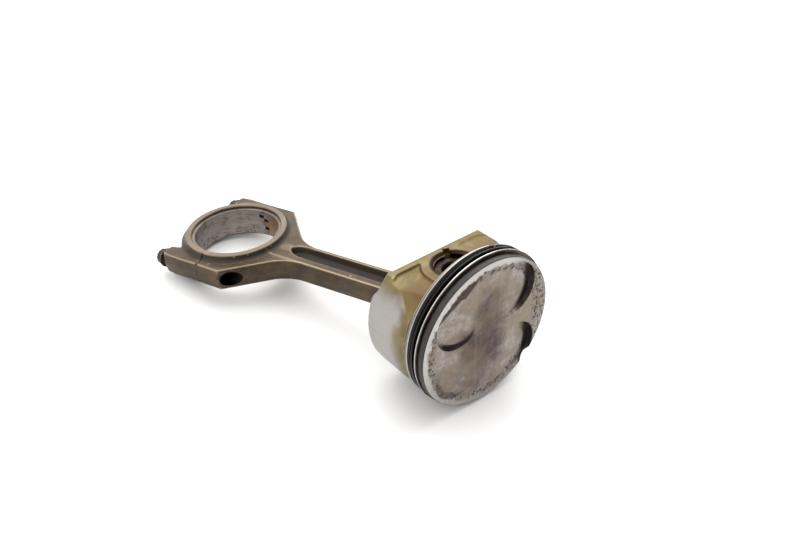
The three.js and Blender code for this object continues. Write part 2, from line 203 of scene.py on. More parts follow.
def solid(bm, turn=None):
    """A working object from a closed bmesh, with its faces outwards."""
    bmesh.ops.remove_doubles(bm, verts=bm.verts[:], dist=JOIN)
    if turn is not None:
        bmesh.ops.transform(bm, matrix=turn, verts=bm.verts[:])
    bmesh.ops.recalc_face_normals(bm, faces=bm.faces[:])
    mesh = bpy.data.meshes.new("work")
    bm.to_mesh(mesh)
    bm.free()
    made = bpy.data.objects.new("work", mesh)
    bpy.context.scene.collection.objects.link(made)
    return made


def lathe(profile, steps, turn=None, closed=False, start=0.0, sweep=FULL_TURN):
    """Spins (radius, height) points about Z; a part turn gets its two ends closed."""
    bm = bmesh.new()
    first = Quaternion((0, 0, 1), start)
    verts = [bm.verts.new(first @ Vector((r, 0, z))) for r, z in profile]
    edges = [bm.edges.new(pair) for pair in zip(verts, verts[1:])]
    if closed:
        edges.append(bm.edges.new((verts[-1], verts[0])))
    full = sweep >= FULL_TURN
    spun = bmesh.ops.spin(
        bm, geom=verts + edges, cent=(0, 0, 0), axis=(0, 0, 1), angle=sweep,
        steps=steps, use_merge=full,
    )
    if not full:
        last = [part for part in spun["geom_last"] if isinstance(part, bmesh.types.BMEdge)]
        bmesh.ops.contextual_create(bm, geom=edges)
        bmesh.ops.contextual_create(bm, geom=last)
    return solid(bm, turn)


def bar(radius, low, high, steps, end_radius=None, edge=0.0, turn=None):
    """A round bar along Z with a chamfer at both ends, which may taper."""
    end_radius = radius if end_radius is None else end_radius
    profile = [(0, low), (radius - edge, low), (radius, low + edge)]
    profile += [(end_radius, high - edge), (end_radius - edge, high), (0, high)]
    return lathe(profile, steps, turn)


def raised(outline, low, high):
    """A bmesh of a plate between two heights over a closed outline."""
    bm = bmesh.new()
    face = bm.faces.new([bm.verts.new((x, y, low)) for x, y in outline])
    grown = bmesh.ops.extrude_face_region(bm, geom=[face])["geom"]
    tops = [part for part in grown if isinstance(part, bmesh.types.BMVert)]
    bmesh.ops.translate(bm, vec=(0, 0, high - low), verts=tops)
    bmesh.ops.recalc_face_normals(bm, faces=bm.faces[:])
    return bm


def slab(outline, low, high, turn=None):
    """A plate between two heights over a closed outline."""
    return solid(raised(outline, low, high), turn)


def block(low, high):
    """A box between two corners."""
    outline = ((low[0], low[1]), (high[0], low[1]), (high[0], high[1]), (low[0], high[1]))
    return slab(outline, low[2], high[2])


def slice_between(low, high):
    """A box over everything between two places along X."""
    return block((low, -SIDE, HEIGHTS[0]), (high, SIDE, HEIGHTS[1]))


def drafted(outline, land, half, draft):
    """A forged plate: widest at its parting line, narrowing to both faces."""
    bm = raised(outline, -land, land)
    ends = [face for face in bm.faces if abs(face.normal.z) > 0.9]
    bmesh.ops.inset_individual(
        bm, faces=ends, thickness=draft, depth=half - land, use_even_offset=True
    )
    return solid(bm)


def settled(piece):
    """Applies the piece's modifiers to its mesh."""
    graph = bpy.context.evaluated_depsgraph_get()
    mesh = bpy.data.meshes.new_from_object(piece.evaluated_get(graph))
    piece.modifiers.clear()
    piece.data = mesh
    if not mesh.vertices:
        raise RuntimeError("a shape vanished while it was being cut")
    return piece


def carve(piece, operation, *tools):
    """Joins, cuts or trims the piece with each tool, and removes the tools."""
    for tool in tools:
        step = piece.modifiers.new("carve", "BOOLEAN")
        step.operation = operation
        step.solver = "MANIFOLD"
        step.object = tool
    settled(piece)
    for tool in tools:
        bpy.data.objects.remove(tool)
    return piece


def soften(piece, cell, passes):
    """Gives a rough shape the rounded corners of a forging or a casting."""
    skin = piece.modifiers.new("skin", "REMESH")
    skin.mode = "VOXEL"
    skin.voxel_size = cell
    smooth = piece.modifiers.new("smooth", "SMOOTH")
    smooth.iterations = passes
    return settled(piece)


def bevelled(piece, width):
    """Breaks the sharp edges of a machined piece."""
    edge = piece.modifiers.new("edge", "BEVEL")
    edge.width = width
    edge.segments = 2
    edge.angle_limit = math.radians(40)
    return settled(piece)


def mirrored(points):
    """The upper half of an outline or profile, with its mirror image below."""
    return [*points, *((x, -y) for x, y in reversed(points))]


def bend(start, control, end, count):
    """Points on a smooth bend from start to end."""
    a, b, c = Vector(start), Vector(control), Vector(end)
    shares = [i / count for i in range(count + 1)]
    return [tuple((1 - t) ** 2 * a + 2 * t * (1 - t) * b + t * t * c) for t in shares]


def place(piece, name, where, body, slot, material, sharp=35):
    """Moves a finished shape into the row frame, hangs it from its body's empty and hides
    the CAD node.
    """
    mesh = piece.data
    mesh.transform(where)
    piece.name = mesh.name = name + "_detail"
    mesh.materials.clear()
    mesh.materials.append(material)
    mesh.shade_smooth()
    mesh.set_sharp_from_angle(angle=math.radians(sharp))
    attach(piece, body)
    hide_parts(name)
    return piece


# --------------------------------------------------------------------- shader tools


class Value:
    """A number in a material; arithmetic on it adds Math nodes."""

    def __init__(self, nodes, socket):
        self.nodes = nodes
        self.socket = socket

    def math(self, operation, *terms):
        settings = {"operation": operation}
        return self.nodes.value("ShaderNodeMath", settings, dict(enumerate(terms)))

    def __add__(self, other):
        return self.math("ADD", self, other)

    def __sub__(self, other):
        return self.math("SUBTRACT", self, other)

    def __rsub__(self, other):
        return self.math("SUBTRACT", other, self)

    def __mul__(self, other):
        return self.math("MULTIPLY", self, other)

    def __truediv__(self, other):
        return self.math("DIVIDE", self, other)

    def __pow__(self, other):
        return self.math("POWER", self, other)

    __radd__ = __add__
    __rmul__ = __mul__

    def size(self):
        return self.math("ABSOLUTE", self)

    def root(self):
        return self.math("SQRT", self)

    def either(self, other):
        return self.math("MAXIMUM", self, other)

    def both(self, other):
        return self.math("MULTIPLY", self, other)

    def above(self, low, high):
        """0 below low, 1 above high, smooth between."""
        settings = {"interpolation_type": "SMOOTHSTEP", "clamp": True}
        inputs = {"Value": self, "From Min": low, "From Max": high}
        return self.nodes.value("ShaderNodeMapRange", settings, inputs)

    def below(self, low, high):
        return 1 - self.above(low, high)

    def within(self, low, high, soft):
        return self.above(low - soft, low).both(self.below(high, high + soft))


class Nodes:
    """Adds nodes to one node tree."""

    def __init__(self, tree):
        self.tree = tree

    def node(self, kind, settings=None, inputs=None):
        made = self.tree.nodes.new(kind)
        for key, value in (settings or {}).items():
            setattr(made, key, value)
        self.feed(made, inputs or {})
        return made

    def feed(self, node, inputs):
        """Sets or links the inputs of a node."""
        for key, value in inputs.items():
            value = value.socket if isinstance(value, Value) else value
            if isinstance(value, bpy.types.NodeSocket):
                self.tree.links.new(value, node.inputs[key])
            else:
                node.inputs[key].default_value = value

    def value(self, kind, settings=None, inputs=None, output=0):
        return Value(self, self.node(kind, settings, inputs).outputs[output])


class Finish(Nodes):
    """A material whose patterns are laid out in a working frame, in millimetres."""

    def __init__(self, name, where):
        self.material = bpy.data.materials.new(name)
        self.material.use_nodes = True
        super().__init__(self.material.node_tree)
        self.tree.nodes.clear()
        output = self.node("ShaderNodeOutputMaterial")
        self.shader = self.node("ShaderNodeBsdfPrincipled")
        self.tree.links.new(self.shader.outputs["BSDF"], output.inputs["Surface"])
        turn = where.to_3x3().normalized().to_euler()
        at = {"Location": where.translation, "Rotation": turn, "Scale": (MM, MM, MM)}
        at["Vector"] = self.node("ShaderNodeTexCoord").outputs["Object"]
        placed = self.node("ShaderNodeMapping", {"vector_type": "TEXTURE"}, at)
        self.spot = placed.outputs["Vector"]
        parts = self.node("ShaderNodeSeparateXYZ", {}, {0: self.spot})
        self.x, self.y, self.z = (Value(self, socket) for socket in parts.outputs)

    def cloud(self, scale, detail=3.0, rough=0.55, stretch=None, seed=0.0, warp=0.0):
        """Noise from about 0.3 to 0.7; scale is in features for each millimetre."""
        spot = self.spot
        if stretch or seed:
            at = {"Vector": spot, "Location": (seed,) * 3, "Scale": stretch or (1, 1, 1)}
            spot = self.node("ShaderNodeMapping", {}, at).outputs["Vector"]
        inputs = {"Vector": spot, "Scale": scale, "Detail": detail}
        inputs |= {"Roughness": rough, "Distortion": warp}
        return self.value("ShaderNodeTexNoise", {}, inputs)

    def pits(self, scale, stretch=None):
        """Distance to the nearest of many scattered points, 0 at a point."""
        spot = self.spot
        if stretch:
            at = {"Vector": spot, "Scale": stretch}
            spot = self.node("ShaderNodeMapping", {}, at).outputs["Vector"]
        return self.value("ShaderNodeTexVoronoi", {}, {"Vector": spot, "Scale": scale})

    def edges(self, low, high):
        """1 on the outer edges of a shape."""
        return self.value("ShaderNodeNewGeometry", output="Pointiness").above(low, high)

    def hollows(self, low, high):
        """1 in the inner corners of a shape."""
        return self.value("ShaderNodeNewGeometry", output="Pointiness").below(low, high)

    def mix(self, share, first, second):
        """The first colour where share is 0, and the second where it is 1."""
        inputs = {0: share}
        for key, tone in ((6, first), (7, second)):
            inputs[key] = tone if isinstance(tone, bpy.types.NodeSocket) else (*tone, 1)
        settings = {"data_type": "RGBA", "clamp_factor": True}
        return self.node("ShaderNodeMix", settings, inputs).outputs[2]

    def shade(self, base, roughness, metallic, height, depth):
        """Sets the surface; height is raised by depth millimetres for each 1."""
        inputs = {"Height": height, "Distance": depth * MM, "Strength": 1.0}
        bump = self.node("ShaderNodeBump", {}, inputs).outputs[0]
        inputs = {"Base Color": base, "Roughness": roughness, "Metallic": metallic}
        self.feed(self.shader, inputs | {"Normal": bump})
        return self.material


# ------------------------------------------------------------------------ materials


def forged_steel(name):
    """Oil-stained forging, rubbed edges, bright machined faces, with painted shade in the
    channels, collar foot and bolt holes and a painted highlight at the neck.
    """
    tint = bpy.context.scene.finishes
    steel = Finish(name, ROD)
    ring = (steel.x ** 2 + steel.y ** 2).root()
    face = ring.within(26.9, 30.2, 0.2).both(steel.z.size().above(10.2, 10.35))
    bore = ring.below(27.0, 27.2)
    machined = face.either(bore)
    stain = steel.cloud(0.07, detail=6, rough=0.65)
    grain = steel.cloud(2.2, detail=4, rough=0.6, seed=9)
    streaks = steel.cloud(0.25, detail=5, stretch=(0.25, 1, 1), seed=31)
    # The channel between the flanges; its floor gets the grime colour, partly as painted
    # shade.
    near = steel.x.within(44, 132, 8).both((steel.y - 1.1).size().below(5.2, 6.4))
    channel = near.both(steel.z.size().below(4.6, 6.3))
    edge = steel.edges(0.507, 0.532).both(grain.above(0.25, 0.5))
    edge = edge.both(steel.z.size().above(3.8, 5.6)).both(steel.x.size().above(0.5, 1.4))
    # Painted shade: the inside of each bolt hole, painted near black.
    bolt_hole_shade = ((steel.y.size() - 32.3) ** 2 + steel.z ** 2).root().below(4.6, 4.9)
    # Painted shade: a dark line round the foot of the collar, where its wall shades the
    # plate.
    collar_foot_shade = ring.within(30.5, 32.4, 0.6).both(steel.z.size().within(6.3, 8.8, 0.8))
    # Grime and painted shade together: inner corners, the channel floor and the collar
    # foot.
    grime_and_shade = steel.hollows(0.455, 0.488).either(channel * 0.9).either(collar_foot_shade * 0.8)
    base = steel.mix(stain.above(0.38, 0.66), tint.steel, Vector(tint.steel) * 1.65)
    base = steel.mix(streaks.above(0.52, 0.7) * 0.6, base, (0.032, 0.023, 0.015))
    stripe = (steel.y + 8.3).size().below(0.5, 1.2).both(steel.x.within(20, 130, 6))
    rubbed = stripe.both(steel.z.size().above(5.9, 6.4)).both(grain.above(0.3, 0.5))
    base = steel.mix(rubbed * 0.4, base, tint.steel_edge)
    # Painted highlight: a lighter patch on top of the neck where the channel starts.
    neck_highlight = (((steel.x - 37) / 6) ** 2 + ((steel.y - 1.5) / 5) ** 2).root().below(0.35, 1.0)
    neck_highlight = neck_highlight.both(steel.z.size().above(4.5, 5.8)).both(stain.above(0.3, 0.5))
    base = steel.mix(neck_highlight * 0.45, base, (0.2, 0.16, 0.12))
    base = steel.mix(edge * 0.75, base, tint.steel_edge)
    base = steel.mix(grime_and_shade.both(1 - edge) * 0.93, base, tint.grime_shade_colour)
    lines = steel.cloud(0.9, detail=2, stretch=(0.35, 0.35, 6), seed=5)
    worn = steel.mix(stain.above(0.35, 0.62) * 0.6, tint.machined, (0.1, 0.076, 0.054))
    worn = steel.mix(lines.above(0.5, 0.75) * 0.35, worn, (0.12, 0.095, 0.07))
    base = steel.mix(machined, base, worn)
    # Painted shade in the bolt holes.
    base = steel.mix(bolt_hole_shade, base, (0.004, 0.003, 0.002))
    rough = 0.27 + 0.24 * grain.above(0.3, 0.7) + 0.15 * grime_and_shade
    rough = rough * (1 - machined) + machined * (0.26 + 0.16 * lines)
    height = (grain + 0.6 * steel.cloud(0.6, detail=3, seed=17)) * (1 - machined * 0.9)
    return steel.shade(base, rough, 0.82 - 0.5 * grime_and_shade, height, 0.16)


def black_bolt(name):
    """Blackened bolt steel, oily, with rubbed corners."""
    bolt = Finish(name, ROD)
    grain = bolt.cloud(1.2, detail=4)
    edge = bolt.edges(0.52, 0.58)
    base = bolt.mix(grain.above(0.35, 0.65), (0.012, 0.009, 0.007), (0.036, 0.028, 0.022))
    base = bolt.mix(edge * 0.2, base, (0.16, 0.13, 0.1))
    return bolt.shade(base, 0.32 + 0.25 * grain, 0.7, grain, 0.08)


def bearing_metal(name):
    """Satin bearing face, scored round the bore and worn through in places."""
    tint = bpy.context.scene.finishes
    shell = Finish(name, ROD)
    ring = (shell.x ** 2 + shell.y ** 2).root()
    scoring = shell.cloud(0.5, detail=3, stretch=(0.2, 0.2, 7), seed=3)
    blotch = shell.cloud(0.16, detail=5, seed=12, warp=0.6)
    low = shell.z.below(-5.5, -2.0)
    spots = shell.pits(0.55, stretch=(1, 1, 0.7)).below(0.22, 0.4).both(low)
    patch = shell.x.within(3, 13, 2.5).both(shell.y.above(9, 13))
    patch = patch.both((shell.z - 1).size().below(4.5, 7)).both(blotch.above(0.36, 0.5))
    base = shell.mix(scoring.above(0.42, 0.62) * 0.7, tint.bearing, (0.13, 0.11, 0.1))
    base = shell.mix(blotch.above(0.48, 0.66) * 0.6, base, (0.11, 0.08, 0.062))
    base = shell.mix(patch * 0.9, base, tint.bronze)
    base = shell.mix(spots * 0.75, base, (0.09, 0.06, 0.045))
    # Painted shade: the chamfers and end faces of the shells are darkened, where the
    # housing's edge shades them.
    base = shell.mix(ring.above(25.2, 25.5) * 0.75, base, (0.11, 0.085, 0.06))
    rough = 0.27 + 0.2 * blotch + 0.1 * scoring
    return shell.shade(base, rough, 0.85, scoring, 0.035)


def bush_bronze(name):
    """Oil-darkened bronze with a turned finish."""
    tint = bpy.context.scene.finishes
    bush = Finish(name, ROD)
    lines = bush.cloud(0.8, detail=2, stretch=(0.3, 0.3, 6))
    stain = bush.cloud(0.2, detail=4, seed=4)
    base = bush.mix(stain.above(0.4, 0.65), tint.bronze, Vector(tint.bronze) * 0.4)
    return bush.shade(base, 0.3 + 0.2 * lines, 0.85, lines, 0.03)


def burnt_crown(alloy, radius, broad):
    """Mottled metal with carbon in the middle, chips and pits near the edge, and a clean
    edge band lightened on the upper left as a painted highlight.
    """
    tint = bpy.context.scene.finishes
    y, z = alloy.y, alloy.z
    swirl = alloy.cloud(0.055, detail=5, seed=44, warp=1.2)
    mottle = alloy.cloud(0.35, detail=6, rough=0.7, seed=15)
    brushed = alloy.cloud(0.9, detail=3, stretch=(1, 0.12, 1.5), seed=27)
    metal = alloy.mix(mottle.above(0.38, 0.62), (0.245, 0.217, 0.194), (0.36, 0.327, 0.298))
    metal = alloy.mix(brushed.above(0.5, 0.7) * 0.3, metal, (0.13, 0.12, 0.115))
    centre = (((y + 2) / 17) ** 2 + ((z + 3) / 31) ** 2).root()
    burnt = (centre + (swirl - 0.5) * 1.8).below(0.42, 1.25)
    burnt = burnt.both(mottle.above(0.12, 0.52))
    deposit = alloy.mix(swirl.above(0.42, 0.6), tint.carbon, (0.11, 0.072, 0.05))
    metal = alloy.mix(burnt * 0.94, metal, deposit)
    warm = radius.within(12, 36, 8).both(broad.above(0.42, 0.58))
    metal = alloy.mix(warm * 0.6, metal, (0.2, 0.145, 0.095))
    flakes = alloy.pits(0.55).below(0.4, 0.62).both(mottle.above(0.42, 0.56))
    ragged = radius + (alloy.cloud(0.3, detail=5, seed=61) - 0.5) * 5
    chips = flakes.both(ragged.within(36.0, 39.6, 0.6))
    squish = flakes.both(y.above(30, 33)).both(ragged.below(41, 42))
    chips = chips.either(squish)
    segment = (z * 0.8 - y * 0.6).above(32.2, 33.8).both(ragged.below(38.2, 38.7))
    segment = segment.both(y.below(-8, -5)).both(mottle.above(0.12, 0.34))
    metal = alloy.mix(segment * 0.92, metal, (0.05, 0.02, 0.012))
    metal = alloy.mix(chips * 0.9, metal, (0.035, 0.02, 0.014))
    # A clean band round the edge, lightened more on the upper left as a painted highlight.
    clean_rim_and_highlight = ragged.above(38.3, 39.8).both((y - z * 0.3).below(-2, 26))
    clean_rim_and_highlight = clean_rim_and_highlight * (0.35 + 0.65 * z.above(-28, 2))
    metal = alloy.mix(clean_rim_and_highlight * 0.9, metal, (0.5, 0.48, 0.46))
    creases = y.size().within(7.6, 8.3, 1.2)
    metal = alloy.mix(creases * 0.1, metal, (0.36, 0.34, 0.33))
    for pocket, (strength, width, side_y, side_z) in zip(POCKETS, POCKET_SOOT):
        middle_y, middle_z, reach, _ = pocket
        out_y, out_z = y - middle_y, z - middle_z
        away = (out_y ** 2 + out_z ** 2).root()
        toward = (out_y * side_y + out_z * side_z) / reach
        soot = away.within(reach - width, reach - 0.1, 0.4 * width)
        soot = soot.both(toward.above(0.25, 0.75)).both(alloy.x.below(24.6, 24.95))
        soot = soot * (strength * 0.7 + strength * 0.6 * mottle)
        metal = alloy.mix(soot, metal, (0.018, 0.012, 0.011))
    burn = burnt.either(chips).either(segment)
    return metal, mottle, chips, burn, clean_rim_and_highlight


def piston_alloy(name):
    """Cast and turned alloy: varnished walls, grey skirt, lands black with soot and painted
    shade, burnt crown with a painted highlight at its edge.
    """
    tint = bpy.context.scene.finishes
    alloy = Finish(name, PISTON)
    x, y, z = alloy.x, alloy.y, alloy.z
    radius = (y ** 2 + z ** 2).root()

    # Cast walls under a coat of oil varnish, thinner towards the open end.
    fine = alloy.cloud(1.4, detail=4, rough=0.6)
    broad = alloy.cloud(0.07, detail=4, seed=21, warp=0.4)
    middle = alloy.cloud(0.22, detail=5, seed=6)
    wall = alloy.mix(broad.above(0.42, 0.64), tint.varnish, (0.17, 0.13, 0.056))
    amber = (x.above(-10, 4)).both(y.size().within(9, 29, 6)).both(broad.above(0.3, 0.5))
    wall = alloy.mix(amber * 0.85, wall, (0.088, 0.046, 0.013))
    wall = alloy.mix(alloy.edges(0.51, 0.54) * 0.4, wall, (0.38, 0.34, 0.22))
    wall = alloy.mix(alloy.hollows(0.455, 0.49) * 0.25, wall, (0.10, 0.085, 0.04))
    inside = radius.below(37.5, 39.5).both(z.size().below(24.5, 26)).both(x.below(18.2, 19))
    wall = alloy.mix(inside * 0.7, wall, (0.09, 0.06, 0.027))
    bored = (x ** 2 + y ** 2).root().below(12.3, 13.4).both(z.size().above(20, 23))
    bored = bored.both(z.size().below(30.3, 30.6))
    wall = alloy.mix(bored * 0.95, wall, (0.02, 0.009, 0.005))

    # Turned thrust skirt, rubbed clean by the cylinder.
    turned = alloy.cloud(0.4, detail=2, stretch=(9, 0.15, 0.15), seed=2)
    scuffs = alloy.cloud(0.5, detail=4, stretch=(0.12, 1.6, 1.6), seed=8)
    border = z.size() + (x + 16.6) * 0.2 + (broad - 0.5) * 16
    skirt = radius.above(42.2, 42.6).both(x.below(10.6, 10.9)).both(border.below(20, 31))
    skirt = skirt.both((x + (broad - 0.5) * 16).below(-0.5, 8.5))
    grey = alloy.mix(scuffs.above(0.42, 0.7) * 0.12, tint.alloy, (0.20, 0.19, 0.185))
    grey = alloy.mix(broad.above(0.46, 0.65) * 0.35, grey, (0.27, 0.27, 0.22))

    # Lands of the ring belt, brown below and sooty above, and the grooves, near black as
    # soot and painted shade between the rings.
    grooves = x.above(11.6, 12.0).both(x.below(21.2, 21.25)).both(radius.above(37.5, 37.9))
    belt = x.above(10.95, 11.1).both(radius.above(41.9, 42.2)).either(grooves)
    # Near-black lands and grooves: soot, and painted shade between the rings.
    land = alloy.mix(middle.above(0.35, 0.65), tint.soot, (0.018, 0.013, 0.012))
    brown = x.within(22.0, 24.2, 0.8).both(middle.above(0.35, 0.6))
    land = alloy.mix(brown * 0.3, land, (0.04, 0.025, 0.018))
    flange = x.below(11.7, 12.0)
    land = alloy.mix(flange * 0.9, land, (0.26, 0.23, 0.15))

    crown = x.above(21.25, 21.35).both(radius.below(42.35, 42.5))
    metal, mottle, chips, burn, clean_rim_and_highlight = burnt_crown(alloy, radius, broad)

    base = alloy.mix(skirt, wall, grey)
    base = alloy.mix(belt, base, land)
    base = alloy.mix(crown, base, metal)
    rough = 0.34 + 0.22 * fine
    rough = rough * (1 - skirt) + skirt * (0.3 + 0.14 * scuffs)
    rough = rough * (1 - belt) + belt * 0.42
    rough = rough * (1 - crown) + crown * (0.3 + 0.2 * mottle + 0.22 * burn - 0.1 * clean_rim_and_highlight)
    metallic = 0.62 + 0.25 * skirt + 0.2 * crown - 0.45 * crown.both(burn) - 0.3 * belt
    metallic = metallic + 0.36 * bored
    cast = fine * 0.5 * (1 - skirt) * (1 - belt) * (1 - crown)
    height = cast + skirt.both(turned) * 0.12 + crown.both(mottle) * 0.35
    height = height - crown.both(chips) * 0.9 + crown.both(burn) * 0.2
    return alloy.shade(base, rough, metallic, height, 0.14)


def pin_steel(name):
    """Ground pin, dark, and darker inside its bore."""
    pin = Finish(name, PISTON)
    radius = (pin.x ** 2 + pin.y ** 2).root()
    stain = pin.cloud(0.3, detail=5)
    inside = radius.below(6.5, 7.0)
    base = pin.mix(stain.above(0.4, 0.65), (0.02, 0.011, 0.008), (0.05, 0.032, 0.024))
    base = pin.mix(inside, base, (0.012, 0.007, 0.005))
    return pin.shade(base, 0.3 + 0.3 * inside + 0.2 * stain, 0.96, stain, 0.02)


def spring_steel(name):
    """Dark spring wire with a rubbed outer line."""
    clip = Finish(name, PISTON)
    stain = clip.cloud(0.5, detail=4)
    base = clip.mix(stain.above(0.38, 0.65), (0.12, 0.09, 0.07), (0.36, 0.31, 0.26))
    return clip.shade(base, 0.28 + 0.2 * stain, 0.85, stain, 0.03)


def ring_finish(name, side, face, radius, rubbed_to, roughness):
    """A ring with dark sides and a running face that the cylinder has rubbed bright."""
    ring = Finish(name, PISTON)
    reach = (ring.y ** 2 + ring.z ** 2).root()
    stain = ring.cloud(0.16, detail=5, seed=7)
    fine = ring.cloud(0.8, detail=3, seed=3)
    base = ring.mix(stain.above(0.36, 0.64), side, Vector(side) * 0.4)
    base = ring.mix(fine.above(0.55, 0.7) * 0.3, base, (0.1, 0.07, 0.05))
    outer = reach.above(radius - 1.9, radius - 1.6)
    outer = outer.both(ring.x.below(rubbed_to, rubbed_to + 0.2))
    base = ring.mix(outer * (0.75 + 0.25 * fine), base, face)
    return ring.shade(base, roughness + 0.15 * stain, 0.8, fine, 0.02)


# --------------------------------------------------------------------------- pieces


class Maker(bpy.types.Operator):
    """Shared parts of the operators that build one piece or a group of like pieces."""

    bl_options = {"REGISTER", "UNDO"}


def thrust_ring(rod):
    """The ground ring round the bore, with both thrust faces."""
    thrust = rod["thrust_half"]
    section = mirrored([(26.2, thrust), (30.1, thrust), (30.35, thrust - 0.25)])
    return lathe(section, ROUND, closed=True)


def bore_tools(rod):
    """Cutters for the housing bore and the chamfer at each end of it."""
    thrust, bore = rod["thrust_half"], rod["bore"]
    past = thrust + PAST
    tools = [bar(bore, -past, past, ROUND)]
    for up in (1, -1):
        lip = [(bore - 1, up * past), (bore + 0.45 + PAST, up * past)]
        lip += [(bore - 1, up * (thrust - 1.45))]
        tools.append(lathe(lip, ROUND, closed=True))
    return tools


class ROD_OT_body(Maker):
    """Forged rod: big end half, I-section shank and small end"""

    bl_idname = "rod.make_body"
    bl_label = "Rod forging"

    def execute(self, context):
        rod = sizes("rod_sizes")
        half, thrust = rod["forging_half"], rod["thrust_half"]
        shoulder, root = (37, 16.8), (54, 9.4)
        edge = [(-OVERLAP, 37.6), (16.3, 37.6), *bend(shoulder, (44.2, 9.8), root, 8)]
        edge += [(CENTRES, 9.3)]
        forging = drafted(mirrored(edge), 0.3, half, rod["draft"])
        top = thrust - BELOW_FACE
        hub = mirrored([(0, top), (30.2, top), (30.8, 8.4), (31.6, 7.2), (33.4, half)])
        big_end = carve(lathe(hub, 96), "INTERSECT", slice_between(-OVERLAP, SIDE))
        eye = mirrored([(0, 9.8), (15.4, 9.8), (16.5, 6.5)])
        small_end = lathe(eye, 72, Matrix.Translation((CENTRES, 0, 0)))
        carve(forging, "UNION", big_end, small_end)
        for up in (1, -1):
            carve(forging, "DIFFERENCE", self.channel(rod["web_half"], half, up))
        soften(forging, rod["skin"], 7)

        pip = Matrix.Translation((86.9, -6.6, half - 0.6))
        carve(forging, "UNION", bar(0.9, 0, 0.95, 20, end_radius=0.55, turn=pip))
        carve(forging, "UNION", thrust_ring(rod))
        past = thrust + PAST
        tools = bore_tools(rod)
        tools.append(bar(12.25, -past, past, 96, turn=Matrix.Translation((CENTRES, 0, 0))))
        tools.append(slice_between(-SIDE, SPLIT))
        tools += [bar(4.5, -5, SIDE, 32, turn=axis) for axis in BOLT_AXES]
        mark = [(1.0, half - 0.18), (1.35, half - 0.18), (1.5, half + 1), (0.85, half + 1)]
        tools.append(lathe(mark, 32, Matrix.Translation((6.7, -33.1, 0)), closed=True))
        carve(forging, "DIFFERENCE", *tools)
        place(forging, "rod_body", ROD, "rod", "forged_steel", forged_steel("Rod forging"))
        return {"FINISHED"}

    def channel(self, web, half, up):
        """The cutter for the hollow between the flanges, wider at its mouth."""
        near = bend((39.5, 1.5), (42.5, -3.9), (54, -3.9), 8) + [(129, -3.9)]
        far = [(129, 6.5), *bend((54, 6.6), (42.5, 7.6), (39.5, 2.5), 8)]
        bm = raised(near + far, 0, PAST)
        floor = min(bm.faces, key=lambda face: face.calc_center_median().z)
        bmesh.ops.inset_individual(
            bm, faces=[floor], thickness=1.7, depth=half - web, use_even_offset=True
        )
        lift = Matrix.Translation((0, 0, up * half)) @ Matrix.Scale(up, 4, (0, 0, 1))
        return solid(bm, lift)


class ROD_OT_cap(Maker):
    """Forged cap with its arch, thrust faces and two bolt bosses"""

    bl_idname = "rod.make_cap"
    bl_label = "Rod cap"

    def execute(self, context):
        rod = sizes("rod_sizes")
        half, thrust = rod["forging_half"], rod["thrust_half"]
        top = thrust - BELOW_FACE
        arch = [(0, top), (30.2, top), (31.0, 9.0), (32.2, 7.4), (33.6, half), (34.2, 0.3)]
        cap = lathe(mirrored(arch), 96)
        carve(cap, "INTERSECT", slice_between(-SIDE, OVERLAP))
        edge = [(OVERLAP, 24), (OVERLAP, 37.6), (-20, 37.9), (-25.5, 37.5)]
        edge += [(-27.6, 35.9), (-27.6, 27.8), (-22, 26.4), (-16, 24)]
        bosses = [
            drafted([(x, hand * y) for x, y in edge], 0.3, half, rod["draft"])
            for hand in (1, -1)
        ]
        carve(cap, "UNION", *bosses)
        soften(cap, rod["skin"], 7)
        carve(cap, "UNION", thrust_ring(rod))
        tools = bore_tools(rod)
        tools.append(slice_between(-SPLIT, SIDE))
        seat, (low, high) = -27.4, HEIGHTS
        tools.append(block((-SIDE, -SIDE, low), (seat, -26, high)))
        tools.append(block((-SIDE, 26, low), (seat, SIDE, high)))
        tools += [bar(4.6, -40, 5, 32, turn=axis) for axis in BOLT_AXES]
        carve(cap, "DIFFERENCE", *tools)
        place(cap, "rod_cap", ROD, "rod", "forged_steel", forged_steel("Cap forging"))
        return {"FINISHED"}


class ROD_OT_bolts(Maker):
    """Two flanged cap bolts with twelve-point heads"""

    bl_idname = "rod.make_bolts"
    bl_label = "Cap bolts"

    def execute(self, context):
        finish = black_bolt("Bolt steel")
        points, tip, valley = 12, 4.9, 4.4
        star = []
        for i in range(2 * points):
            turn = math.pi * i / points
            reach = tip if i % 2 else valley
            star.append((reach * math.cos(turn), reach * math.sin(turn)))
        for name, axis in zip(("cap_bolt_near", "cap_bolt_far"), BOLT_AXES):
            head = bevelled(slab(star, -32.8, -29.0, axis), 0.5)
            profile = [(0, -29.7), (5.1, -29.7), (5.7, -28.9), (5.7, -28.1), (5.5, -27.9)]
            profile += [(4.7, -27.9), (4.3, -27.4), (4.3, 11.8), (3.5, 13), (0, 13)]
            carve(head, "UNION", lathe(profile, 48, axis))
            dimple = [(0, -33.4), (2.2, -33.4), (1.5, -32.0), (0, -31.7)]
            carve(head, "DIFFERENCE", lathe(dimple, 32, axis))
            place(head, name, ROD, "rod", "bolt_steel", finish)
        return {"FINISHED"}


